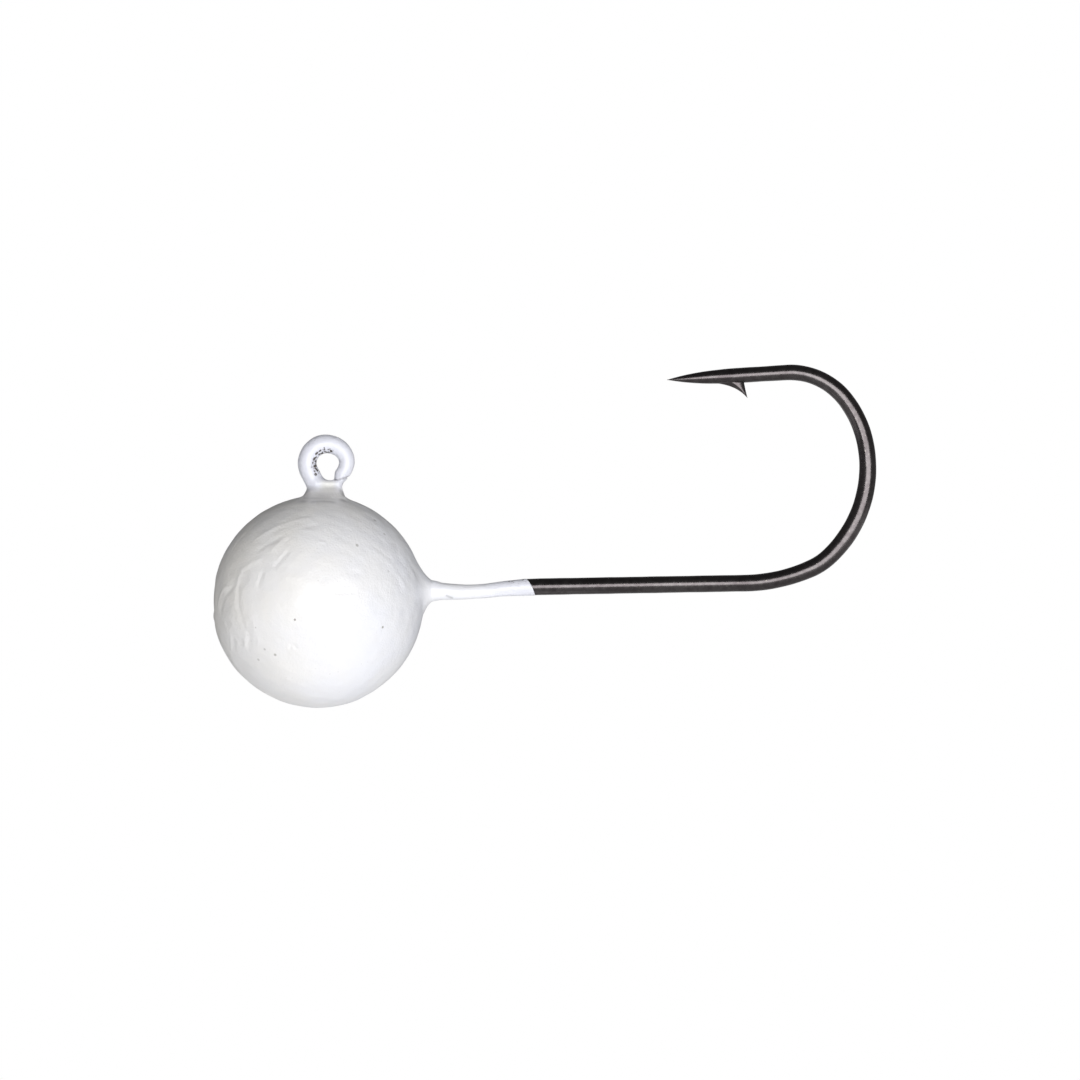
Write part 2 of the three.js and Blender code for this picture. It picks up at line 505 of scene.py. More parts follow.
@dataclass(frozen=True)
class Stations:
    """Points along a wire's centreline."""

    places: np.ndarray
    headings: np.ndarray
    travel: np.ndarray

    def past(self, travel: float) -> "Stations":
        """The stations that lie further along than a distance."""
        kept = self.travel >= travel
        return Stations(self.places[kept], self.headings[kept], self.travel[kept])

    def spatial(self) -> np.ndarray:
        """The centreline's points in space."""
        return np.column_stack([self.places[:, 0], np.zeros(len(self.places)), self.places[:, 1]])

    def sideways(self) -> np.ndarray:
        """The direction to the left of the wire at each point, in its own plane."""
        still = np.zeros(len(self.headings))
        return np.column_stack([-np.sin(self.headings), still, np.cos(self.headings)])


@dataclass(frozen=True)
class Route:
    """A wire's centreline in the plane Y = 0: where it starts, which way it heads, and its runs."""

    start: Spot2D
    heading: float
    runs: tuple[Run, ...]

    def stations(self, spacing: float) -> Stations:
        """Walks the route.

        Args:
            spacing: the largest distance between two points, in millimetres.

        Returns:
            The points along the centreline.
        """
        x, z = self.start
        heading = math.radians(self.heading)
        gone = 0.0
        rows = [(x, z, heading, gone)]
        for run in self.runs:
            steps = max(1, math.ceil(run.travel() / spacing))
            turn = math.radians(run.turn) / steps
            reach = run.travel() / steps
            for _ in range(steps):
                if run.turn:
                    bend = math.copysign(run.radius, run.turn)
                    x += bend * (math.sin(heading + turn) - math.sin(heading))
                    z -= bend * (math.cos(heading + turn) - math.cos(heading))
                    heading += turn
                else:
                    x += reach * math.cos(heading)
                    z += reach * math.sin(heading)
                gone += reach
                rows.append((x, z, heading, gone))
        table = np.array(rows)
        return Stations(table[:, :2], table[:, 2], table[:, 3])


@dataclass(frozen=True)
class Shape:
    """A closed mesh in millimetres."""

    points: np.ndarray
    faces: list[tuple[int, ...]]

    def piece(self, name: str) -> bpy.types.Object:
        """Makes an object, still in millimetres.

        Args:
            name: the object's name.

        Returns:
            The new object, linked to the scene.
        """
        mesh = bpy.data.meshes.new(name)
        mesh.from_pydata(self.points.tolist(), [], self.faces)
        mesh.update()
        made = bpy.data.objects.new(name, mesh)
        bpy.context.scene.collection.objects.link(made)
        return made


def loft(rings: np.ndarray) -> Shape:
    """Joins rings of points into a closed skin with flat ends.

    Args:
        rings: an array of rings, each with the same number of points.

    Returns:
        The closed shape.
    """
    count, sides = rings.shape[:2]
    faces = [tuple(reversed(range(sides)))]
    for ring in range(count - 1):
        base = ring * sides
        for side in range(sides):
            other = (side + 1) % sides
            faces.append((base + side, base + other, base + sides + other, base + sides + side))
    faces.append(tuple(range((count - 1) * sides, count * sides)))
    return Shape(rings.reshape(-1, 3), faces)


def sweep(stations: Stations, wide: np.ndarray, deep: np.ndarray, sides: int) -> Shape:
    """Sweeps an oval section along a wire's centreline.

    Args:
        stations: the centreline.
        wide: the section's half width in the wire's plane, at each station.
        deep: its half width along Y, at each station.
        sides: how many sides the section has.

    Returns:
        The closed rod.
    """
    angles = np.arange(sides) * 2.0 * math.pi / sides
    across = np.cos(angles)[None, :, None] * stations.sideways()[:, None, :] * wide[:, None, None]
    depth = np.sin(angles)[None, :, None] * np.array([0.0, 1.0, 0.0]) * deep[:, None, None]
    return loft(stations.spatial()[:, None, :] + across + depth)


def settled(piece: bpy.types.Object) -> bpy.types.Object:
    """Turns a piece's modifiers into plain mesh.

    Args:
        piece: the object.

    Returns:
        The same object.
    """
    graph = bpy.context.evaluated_depsgraph_get()
    graph.update()
    mesh = bpy.data.meshes.new_from_object(piece.evaluated_get(graph))
    piece.modifiers.clear()
    piece.data = mesh
    return piece


def in_metres(piece: bpy.types.Object, crease: float) -> bpy.types.Object:
    """Scales a piece to metres and shades it smooth, apart from its creases.

    Args:
        piece: the object, in millimetres.
        crease: the angle above which an edge stays sharp, in degrees.

    Returns:
        The same object.
    """
    piece.data.transform(Matrix.Scale(MM, 4))
    piece.data.polygons.foreach_set("use_smooth", [True] * len(piece.data.polygons))
    piece.data.set_sharp_from_angle(angle=math.radians(crease))
    piece.data.update()
    return piece


def paint(piece: bpy.types.Object, finish: Finish) -> None:
    """Gives a piece one finish all over."""
    piece.data.materials.clear()
    piece.data.materials.append(finish.material())


def mount(piece: bpy.types.Object, slot: Slot, *nodes: Node) -> None:
    """Tells the frame what a piece rides on and stands for.

    Args:
        piece: the object.
        slot: not used.
        nodes: the frame's nodes that it replaces.
    """
    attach(piece, Body.ROOT.value)
    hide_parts(*(node.value for node in nodes))


# ---------------------------------------------------------------- the hook


@dataclass(frozen=True)
class Barb:
    """The thorn cut up from the wire behind the point. Its corners are (back from the tip, inwards)."""

    root: Spot2D = (3.1, 0.42)
    belly: Spot2D = (4.45, 0.62)
    tip: Spot2D = (5.08, 1.50)
    heel: Spot2D = (4.90, 0.28)
    hollow: Spot2D = (4.94, 0.80)
    half_depth: float = 0.25
    sides: int = 20
    rings: int = 24
    crispness: float = 1.45
    cut_share: float = 0.985
    depth_power: float = 0.75

    def shape(self, tip: np.ndarray, heading: float) -> Shape:
        """Lofts the thorn.

        Args:
            tip: the hook's point.
            heading: the direction in which the point goes, in radians.

        Returns:
            The closed thorn, whose root is inside the wire.
        """
        back = -np.array([math.cos(heading), 0.0, math.sin(heading)])
        inwards = np.array([-math.sin(heading), 0.0, math.cos(heading)])
        angles = np.arange(self.sides) * 2.0 * math.pi / self.sides
        around = [np.sign(f(angles)) * np.abs(f(angles)) ** self.crispness for f in (np.cos, np.sin)]
        rings = []
        for share in np.linspace(0.0, self.cut_share, self.rings):
            front = self._bow(share, self.root, self.belly, self.tip)
            rear = self._bow(share, self.heel, self.hollow, self.tip)
            middle = (front + rear) / 2
            half = (front - rear) / 2
            centre = tip + back * middle[0] + inwards * middle[1]
            reach = back * half[0] + inwards * half[1]
            depth = np.array([0.0, self.half_depth * (1.0 - share) ** self.depth_power, 0.0])
            rings.append(centre + np.outer(around[0], reach) + np.outer(around[1], depth))
        return loft(np.array(rings))

    @staticmethod
    def _bow(share: float, start: Spot2D, middle: Spot2D, end: Spot2D) -> np.ndarray:
        """A point on the bow from start to end that leans towards middle."""
        first, second, third = (np.array(p) for p in (start, middle, end))
        return (1 - share) ** 2 * first + 2 * share * (1 - share) * second + share**2 * third


@dataclass(frozen=True)
class Hook:
    """One length of plated wire: eye, leg, kink, shank, bend, barb and point."""

    radius: float = 0.533
    cast_radius: float = 0.40
    tucked: float = 0.6
    tucked_fade: float = 0.6
    point_radius: float = 0.012
    eye_radius: float = 1.22
    wire_end: Spot2D = (1.112, -0.95)
    wire_end_heading: float = 77.0
    thinned: float = 0.485
    thinned_from: float = 13.0
    thinned_before_taper: float = 1.0
    taper: float = 5.0
    taper_power: float = 2.5
    bare_from: float = 25.15
    bare_full: float = 25.55
    spacing: float = 0.1
    sides: int = 48
    eye: tuple[Run, ...] = (
        Run(turn=13.0, radius=4.223),
        Run(turn=207.0, radius=1.22),
        Run(length=0.8),
        Run(turn=-27.0, radius=1.0),
    )
    cast: tuple[Run, ...] = (Run(length=4.34), Run(turn=88.5, radius=2.0), Run(length=5.6))
    sleeve: tuple[Run, ...] = (
        Run(length=1.63),
        Run(turn=8.5, radius=12.0),
        Run(turn=-6.0, radius=34.0),
    )
    bend: tuple[Run, ...] = (
        Run(length=12.92),
        Run(turn=23.2, radius=10.8),
        Run(turn=18.6, radius=4.1),
        Run(turn=60.3, radius=7.8),
        Run(turn=25.3, radius=6.66),
        Run(turn=55.1, radius=4.46),
        Run(length=2.63),
        Run(length=5.0),
    )
    pressed: Spot2D = (47.5, 4.5)
    press: float = 0.06
    drawing_marks: tuple[tuple[float, float, float], ...] = ((0.003, 1.9, 0.0), (0.002, 4.3, 1.0))
    crease: float = 38.0
    barb: Barb = Barb()

    def route(self) -> Route:
        """The whole wire's centreline."""
        runs = self.eye + self.cast + self.sleeve + self.bend
        return Route(self.wire_end, self.wire_end_heading, runs)

    def radii(self, travel: np.ndarray) -> np.ndarray:
        """The wire's radius: thin where the lead and the enamel hide it, full, then ground to a point.

        Args:
            travel: the distance from the wire's start, for each station.

        Returns:
            The radius at each station.
        """
        marks = [self.tucked, self.tucked + self.tucked_fade, self.bare_from, self.bare_full]
        sizes = [0.5 * self.cast_radius, self.cast_radius, self.cast_radius, self.radius]
        total = travel[-1]
        marks += [total - self.thinned_from, total - self.taper - self.thinned_before_taper]
        sizes += [self.radius, self.thinned]
        left = np.clip((total - travel) / self.taper, 0.0, 1.0)
        ground = 1.0 - (1.0 - left) ** self.taper_power
        drawn = sum(h * np.sin(travel * rate + start) for h, rate, start in self.drawing_marks)
        bare = np.clip(travel - self.bare_full, 0.0, 1.0)
        full = np.interp(travel, marks, sizes) + drawn * bare
        return np.maximum(full * ground, self.point_radius)

    def build(self) -> bpy.types.Object:
        """Makes the wire and joins the barb to it.

        Returns:
            The hook in metres, not yet plated.
        """
        stations = self.route().stations(self.spacing).past(self.tucked)
        radii = self.radii(stations.travel)
        press = self.press * np.exp(-(((stations.travel - self.pressed[0]) / self.pressed[1]) ** 2))
        wire = sweep(stations, radii * (1 + press), radii * (1 - press), self.sides).piece("hook_wire")
        thorn = self.barb.shape(stations.spatial()[-1], stations.headings[-1]).piece("barb")
        union = wire.modifiers.new("barb", "BOOLEAN")
        union.operation = "UNION"
        union.solver = "EXACT"
        union.object = thorn
        settled(wire)
        bpy.data.objects.remove(thorn)
        return in_metres(wire, self.crease)

    def dress(self, wire: bpy.types.Object) -> None:
        """Plates the hook and tells the frame what it stands for."""
        paint(wire, BlackNickel())
        mount(wire, Slot.HOOK, Node.HOOK)


# ---------------------------------------------------------------- the enamel coat


def rise(values: np.ndarray, start: float, width: float) -> np.ndarray:
    """Climbs from 0 at start to 1 a width further on, where a negative width lies before it."""
    return np.clip((values - start) / width, 0.0, 1.0)


def smooth_union(
    first: np.ndarray, second: np.ndarray, fillet: "float | np.ndarray"
) -> np.ndarray:
    """The distance to two forms joined with a fillet of a given reach."""
    share = np.maximum(fillet - np.abs(first - second), 0.0) / fillet
    return np.minimum(first, second) - share * share * fillet / 4.0


@dataclass(frozen=True)
class Block:
    """A block with round edges."""

    low: Corner
    high: Corner
    edge: float

    def distance(self, points: np.ndarray) -> np.ndarray:
        """Measures the distance to the block.

        Args:
            points: the points to measure.

        Returns:
            The distance from each point, negative inside.
        """
        low, high = np.array(self.low), np.array(self.high)
        over = np.abs(points - (low + high) / 2) - (high - low) / 2 + self.edge
        outside = np.linalg.norm(np.maximum(over, 0.0), axis=1)
        return outside + np.minimum(over.max(axis=1), 0.0) - self.edge


@dataclass(frozen=True)
class Tube:
    """A round rod of varying radius along a line of points."""

    line: np.ndarray
    radii: np.ndarray
    reach: float = 1.8

    def distance(self, points: np.ndarray) -> np.ndarray:
        """The distance from each point to the rod.

        Args:
            points: the points to measure.

        Returns:
            The distance, which is only a lower bound where it is more than the rod's reach.
        """
        size = self.radii.max()
        low, high = self.line.min(0) - size, self.line.max(0) + size
        gap = np.maximum(np.maximum(low - points, points - high), 0.0)
        found = np.linalg.norm(gap, axis=1)
        close = found < self.reach
        near = points[close]
        best = np.full(len(near), np.inf)
        for start, end, first, last in zip(self.line, self.line[1:], self.radii, self.radii[1:]):
            run = end - start
            share = np.clip((near - start) @ run / (run @ run), 0.0, 1.0)
            away = np.linalg.norm(near - start - share[:, None] * run, axis=1)
            best = np.minimum(best, away - first - share * (last - first))
        found[close] = best
        return found


@dataclass(frozen=True)
class Mark:
    """A dent, groove or ridge in the ball's enamel, along a line of (x, z) on its front."""

    line: tuple[Spot2D, ...]
    height: float
    width: float


@dataclass(frozen=True)
class Ball:
    """The painted ball, with the marks that casting and dipping left on it."""

    centre: Corner = (-0.53, 0.0, -8.85)
    radius: float = 6.8
    core_radius: float = 6.68
    core_blend: float = 0.03
    seam_height: float = 0.018
    seam_width: float = 0.22
    clip_x: float = -7.18
    clip_blend: float = 0.10
    lumps: int = 90
    lump_sizes: Spot2D = (0.5, 1.9)
    lump_height: float = 0.011
    mark_reach: float = 1.5
    seed: int = 11
    marks: tuple[Mark, ...] = (
        Mark(((-5.99, -8.05), (-6.28, -8.34), (-6.53, -8.78), (-6.72, -9.32)), -0.060, 0.17),
        Mark(((-6.30, -7.90), (-6.60, -8.14), (-6.80, -8.64), (-6.90, -9.08)), 0.045, 0.16),
        Mark(((-2.40, -5.75), (-3.15, -6.63)), -0.040, 0.13),
        Mark(((-4.00, -7.10), (-4.22, -7.75)), -0.040, 0.14),
        Mark(
            ((-0.85, -4.37), (-1.58, -4.28), (-2.27, -4.47), (-2.75, -4.96), (-3.3, -5.5)), 0.030, 0.24
        ),
        Mark(((-6.04, -11.2), (-6.02, -11.95)), 0.030, 0.12),
        Mark(((-5.82, -11.2), (-5.80, -11.85)), -0.032, 0.14),
        Mark(((-4.80, -10.9), (-4.84, -11.7)), -0.040, 0.20),
        Mark(((-5.10, -10.9), (-5.12, -11.7)), 0.025, 0.14),
        Mark(((-0.34, -5.06), (-0.06, -5.08)), 0.050, 0.10),
        Mark(((0.75, -8.30), (1.85, -8.27)), -0.035, 0.11),
        Mark(((-7.24, -9.70), (-7.22, -9.85)), 0.075, 0.22),
        Mark(((4.30, -13.60), (5.70, -11.50)), -0.12, 2.0),
        Mark(((-3.90, -3.00), (-6.10, -4.95), (-7.20, -7.70)), -0.11, 1.9),
        Mark(((-2.22, -11.82), (-2.15, -11.64), (-1.95, -11.62), (-1.84, -11.80)), -0.060, 0.085),
        Mark(((-5.54, -7.65), (-5.30, -6.85), (-4.26, -6.20)), 0.045, 0.22),
        Mark(((-5.38, -7.33), (-5.54, -8.93), (-5.06, -10.69)), -0.040, 0.20),
        Mark(((-4.74, -9.41), (-4.26, -11.33)), 0.030, 0.22),
        Mark(((-4.42, -4.85), (-3.14, -4.13), (-1.06, -3.55)), 0.032, 0.20),
        Mark(((-4.26, -5.57), (-2.82, -4.77), (-0.74, -4.02)), -0.030, 0.20),
        Mark(((2.78, -5.41), (4.07, -6.37), (5.03, -7.81)), 0.028, 0.22),
        Mark(((1.60, -7.08), (2.05, -7.02)), -0.030, 0.20),
        Mark(((5.55, -6.75), (5.75, -7.05)), -0.030, 0.25),
    )

    def front(self, x: float, z: float) -> np.ndarray:
        """Finds the point on the ball's front at a place within its outline.

        Args:
            x: how far along the shank.
            z: how high.

        Returns:
            The point.
        """
        across, up = x - self.centre[0], z - self.centre[2]
        depth = math.sqrt(max(self.radius**2 - across**2 - up**2, 0.0))
        return np.array([x, self.centre[1] - depth, z])

    def plain(self, points: np.ndarray) -> np.ndarray:
        """The distance to the ball without its marks: a sphere with the pouring gate clipped flat."""
        sphere = np.linalg.norm(points - np.array(self.centre), axis=1) - self.radius
        return -smooth_union(-sphere, points[:, 0] - self.clip_x, self.clip_blend)

    def core(self, points: np.ndarray) -> np.ndarray:
        """The distance to the thinnest film that still covers the lead."""
        return np.linalg.norm(points - np.array(self.centre), axis=1) - self.core_radius

    def relief(self, points: np.ndarray) -> np.ndarray:
        """How far the enamel stands proud of the plain ball.

        Args:
            points: points near the ball.

        Returns:
            The height at each point, negative in a dent.
        """
        centre = np.array(self.centre)
        away = points - centre
        on_ball = centre + away * (self.radius / np.linalg.norm(away, axis=1))[:, None]
        seam = np.exp(-((on_ball[:, 1] / self.seam_width) ** 2))
        height = self.seam_height * seam
        for mark in self.marks:
            line = np.array([self.front(x, z) for x, z in mark.line])
            gap = Tube(line, np.zeros(len(line)), self.mark_reach).distance(on_ball)
            height += mark.height * np.exp(-((gap / mark.width) ** 2))
        draws = np.random.default_rng(self.seed)
        for _ in range(self.lumps):
            spot = draws.normal(size=3)
            spot = centre + spot / np.linalg.norm(spot) * self.radius
            size = draws.uniform(*self.lump_sizes)
            swell = draws.normal() * self.lump_height * size
            height += swell * np.exp(-((on_ball - spot) ** 2).sum(1) / size**2)
        return height


@dataclass(frozen=True)
class Coat:
    """One film of enamel over the eye, the neck, the ball, the collar and the first of the shank."""

    ball: Ball = Ball()
    eye_edge: float = 1.82
    eye_wire: float = 0.60
    eye_spacing: float = 0.12
    leg_length: float = 1.2
    thin_side: float = 0.10
    wire_end: Spot2D = (0.985, -0.72)
    wire_end_turn: float = 36.15
    wire_end_bend: float = 1.2206
    wire_end_thinning: float = 0.15
    neck: Block = Block((-1.2, -0.95, -3.2), (0.95, 0.95, -1.66), 0.38)
    web: Block = Block((-0.75, -0.58, -2.6), (0.93, 0.58, -1.11), 0.22)
    post: Block = Block((0.62, -0.40, -2.0), (1.00, 0.40, -0.98), 0.10)
    neck_fillet: float = 0.75
    neck_foot: float = -2.02
    neck_half: float = 1.3
    eye_fillet: float = 0.30
    web_fillet: float = 0.34
    web_post_fillet: float = 0.12
    sleeve_fillet: float = 0.30
    post_fillet: float = 0.42
    # painted shade: darker lines on the ball's front just under the neck
    painted_shade_lines: tuple[tuple[Spot2D, Spot2D], ...] = (
        ((-1.50, -2.42), (-1.38, -2.47)),
        ((-0.80, -2.49), (0.42, -2.50)),
        ((1.00, -2.36), (1.12, -2.42)),
    )
    painted_shade_line_width: float = 0.22
    cracks: tuple[tuple[Spot2D, ...], ...] = (
        ((0.58, -1.06), (0.90, -1.03), (1.18, -0.97), (1.50, -0.88)),
        ((7.70, -8.50), (7.86, -8.58), (8.04, -8.64)),
    )
    crack_side: float = 0.3
    crack_depth: float = 0.055
    crack_width: float = 0.042
    collar_fillet: float = 0.80
    collar: tuple[Spot2D, Spot2D] = ((5.0, 1.95), (6.74, 0.60))
    collar_height: float = -8.17
    sleeve_spacing: float = 0.2
    sleeve_past_edge: float = 0.6
    shank_beyond: Spot2D = (5.5, -7.0)
    sleeve_x: tuple[float, ...] = (6.0, 7.0, 7.9, 9.3, 10.2, 11.1, 12.1, 12.8, 13.9)
    sleeve_radii: tuple[float, ...] = (0.62, 0.575, 0.515, 0.458, 0.458, 0.475, 0.515, 0.546, 0.552)
    edge_x: float = 13.05
    edge_slant: float = 0.26
    edge_bow: float = 0.12
    edge_height: float = -7.95
    edge_half: float = 0.55
    edge_ripple: float = 0.03
    edge_slope: float = 0.9
    unevenness: float = 0.010
    calm: Spot2D = (12.4, -1.5)
    post_reach: Spot2D = (0.1, 0.6)
    worn_centre: float = -0.2
    worn_within: float = 1.3
    worn_facing: Spot2D = (0.16, 0.40)
    worn_from: Spot2D = (38.0, 30.0)
    worn_to: Spot2D = (248.0, -14.0)
    scuff_height: Spot2D = (-7.80, 0.14)
    scuff_from: Spot2D = (10.2, 0.5)
    scuff_to: Spot2D = (13.0, -0.4)
    scuff_strength: float = 0.55
    # painted shade in the cracks and round the foot of the neck: width and strength
    crack_shade: Spot2D = (0.07, 1.3)
    neck_shade: Spot2D = (0.22, 1.25)
    thin_on_eye: Spot2D = (-1.95, 0.5)
    thin_on_shank: Spot2D = (9.6, 3.0)
    shank_thinness: float = 0.85
    # where the painted shade on the recessed web lies
    web_shade_middle: Spot2D = (0.12, -1.52)
    web_shade_half: Spot2D = (0.50, 0.42)
    rough_blocks: tuple[tuple[Corner, Corner], ...] = (
        ((-0.13, 0.0, -2.10), (2.0, 1.5, 1.6)),
        ((0.86, 0.0, -1.16), (0.46, 0.8, 1.16)),
    )
    rod_sides: int = 16
    voxel: float = 0.09
    rounds: int = 5
    slide: float = 0.5
    crease: float = 60.0

    def eye_tube(self) -> Tube:
        """The coated eye: the wire's end on the right, the ring, and the leg down into the neck.

        Returns:
            The rod that the eye's enamel follows.
        """
        ring = self.eye_edge - self.eye_wire
        _, bare_ring, *leg = Hook().eye
        runs = (
            Run(turn=self.wire_end_turn, radius=self.wire_end_bend),
            Run(turn=bare_ring.turn, radius=ring),
            *leg,
            Run(length=self.leg_length),
        )
        stations = Route(self.wire_end, 90.0 - self.wire_end_turn, runs).stations(self.eye_spacing)
        end_travel = runs[0].travel()
        risen = np.clip(stations.travel / end_travel, 0.0, 1.0)
        turned = np.clip((stations.travel - end_travel) / ring, 0.0, math.pi / 2)
        on_side = self.thin_side * risen * np.cos(turned) ** 2
        line = stations.spatial() - stations.sideways() * on_side[:, None]
        return Tube(line, self.eye_wire - on_side - self.wire_end_thinning * (1.0 - risen))

    def sleeve_tube(self) -> Tube:
        """The enamel round the shank, which draws in between the collar and its edge.

        Returns:
            The rod that the shank's enamel follows.
        """
        hook = Hook()
        runs = hook.eye + hook.cast + hook.sleeve + (Run(length=self.sleeve_past_edge),)
        stations = Route(hook.wire_end, hook.wire_end_heading, runs).stations(self.sleeve_spacing)
        line = stations.spatial()
        least_x, most_z = self.shank_beyond
        shank = (line[:, 0] > least_x) & (line[:, 2] < most_z)
        return Tube(line[shank], np.interp(line[shank][:, 0], self.sleeve_x, self.sleeve_radii))

    def edge(self, points: np.ndarray) -> np.ndarray:
        """Measures how far each point lies past the slanted, wavy edge of the enamel on the shank.

        Args:
            points: the points to measure.

        Returns:
            The distance past the edge, negative on the painted side.
        """
        height = np.clip((points[:, 2] - self.edge_height) / self.edge_half, -1.2, 1.2)
        bow = self.edge_bow * (1.0 - height**2) - self.edge_ripple * np.sin(points[:, 1] * 6.0)
        return (points[:, 0] - self.edge_x + self.edge_slant * height - bow) * self.edge_slope

    def form(self) -> "CoatForm":
        """The coat's form, ready to be measured."""
        return CoatForm(self, self.eye_tube(), self.sleeve_tube())

    def base(self) -> bpy.types.Object:
        """A rough closed mesh around the coat's form, of even quads.

        Returns:
            The mesh object, in millimetres.
        """
        bpy.ops.mesh.primitive_ico_sphere_add(
            subdivisions=6, radius=self.ball.radius, location=self.ball.centre
        )
        ball = bpy.context.object
        form = self.form()
        rough = [ball]
        for name, tube in (("eye", form.eye), ("sleeve", form.sleeve)):
            rough.append(self._rod(name, tube))
        for place, size in self.rough_blocks:
            bpy.ops.mesh.primitive_cube_add(size=1.0, location=place)
            bpy.context.object.scale = size
            rough.append(bpy.context.object)
        bpy.context.view_layer.update()
        for piece in rough:
            piece.data.transform(piece.matrix_world)
            piece.matrix_world = Matrix.Identity(4)
        with bpy.context.temp_override(
            active_object=ball, object=ball, selected_editable_objects=rough, selected_objects=rough
        ):
            bpy.ops.object.join()
        remesh = ball.modifiers.new("even", "REMESH")
        remesh.mode = "VOXEL"
        remesh.voxel_size = self.voxel
        return settled(ball)

    def _rod(self, name: str, tube: Tube) -> bpy.types.Object:
        """Makes a plain round rod round a tube's line.

        Args:
            name: the object's name.
            tube: the line and its radii.

        Returns:
            The rod, in millimetres.
        """
        run = np.gradient(tube.line, axis=0)
        headings = np.arctan2(run[:, 2], run[:, 0])
        stations = Stations(tube.line[:, [0, 2]], headings, np.zeros(len(headings)))
        return sweep(stations, tube.radii, tube.radii, self.rod_sides).piece(name)

    def build(self) -> bpy.types.Object:
        """Draws the rough mesh onto the coat's form.

        Returns:
            The enamel coat in metres, with its bare and thin patches and its painted shade (in the
            cracks, round the neck and on the web) stored on its points.
        """
        coat = self.base()
        coat.name = "enamel_coat"
        mesh = coat.data
        form = self.form()
        self._draw(mesh, form)
        self._split(mesh)
        points = self._draw(mesh, form)
        for patch, measure in (
            ("bare", form.bare),
            ("painted_shade", form.painted_shade),
            ("thin", form.thin),
            ("web", form.web),
        ):
            self._store(mesh, patch, measure(points))
        return in_metres(coat, self.crease)

    @staticmethod
    def _split(mesh: bpy.types.Mesh) -> None:
        """Cuts the faces of the eye, the neck and the enamel's edge on the shank in four.

        Args:
            mesh: the mesh, in millimetres.
        """
        split = bmesh.new()
        split.from_mesh(mesh)
        fine = [
            edge
            for edge in split.edges
            if all(v.co.z > FINE_ABOVE or v.co.x > FINE_BEYOND for v in edge.verts)
        ]
        bmesh.ops.subdivide_edges(split, edges=fine, cuts=1, use_grid_fill=True)
        split.to_mesh(mesh)
        split.free()

    def _draw(self, mesh: bpy.types.Mesh, form: "CoatForm") -> np.ndarray:
        """Draws a mesh onto the coat's form, and evens it out.

        Args:
            mesh: the mesh, in millimetres.
            form: the coat's form.

        Returns:
            The mesh's points.
        """
        points = np.empty(len(mesh.vertices) * 3)
        mesh.vertices.foreach_get("co", points)
        points = points.reshape(-1, 3)
        pairs = np.empty(len(mesh.edges) * 2, dtype=np.int64)
        mesh.edges.foreach_get("vertices", pairs)
        pairs = pairs.reshape(-1, 2)
        for _ in range(self.rounds):
            normals = form.normals(points)
            points = relaxed(points, pairs, normals, self.slide)
            points = points - form.distance(points)[:, None] * form.normals(points)
        points = points - form.distance(points)[:, None] * form.normals(points)
        mesh.vertices.foreach_set("co", points.reshape(-1))
        return points

    @staticmethod
    def _store(mesh: bpy.types.Mesh, name: str, values: np.ndarray) -> None:
        """Keeps a value on each point of a mesh."""
        kept = mesh.attributes.new(name, "FLOAT", "POINT")
        kept.data.foreach_set("value", values.astype(np.float32))

    def dress(self, coat: bpy.types.Object, finish: Enamel) -> None:
        """Paints the coat and tells the frame what it stands for."""
        paint(coat, finish)
        mount(coat, Slot.ENAMEL, Node.HEAD_PAINT, Node.EYE_PAINT, Node.SHANK_PAINT)


def relaxed(
    points: np.ndarray, pairs: np.ndarray, normals: np.ndarray, share: float
) -> np.ndarray:
    """Evens out a mesh by sliding its points along its surface.

    Args:
        points: the mesh's points.
        pairs: the two ends of each edge.
        normals: the surface's direction at each point.
        share: how far each point goes to the middle of its neighbours.

    Returns:
        The moved points.
    """
    count = len(points)
    first, second = pairs[:, 0], pairs[:, 1]
    linked = np.bincount(first, minlength=count) + np.bincount(second, minlength=count)
    total = np.zeros_like(points)
    for axis in range(3):
        total[:, axis] += np.bincount(first, points[second, axis], count)
        total[:, axis] += np.bincount(second, points[first, axis], count)
    step = (total / linked[:, None] - points) * share
    return points + step - normals * (step * normals).sum(1)[:, None]


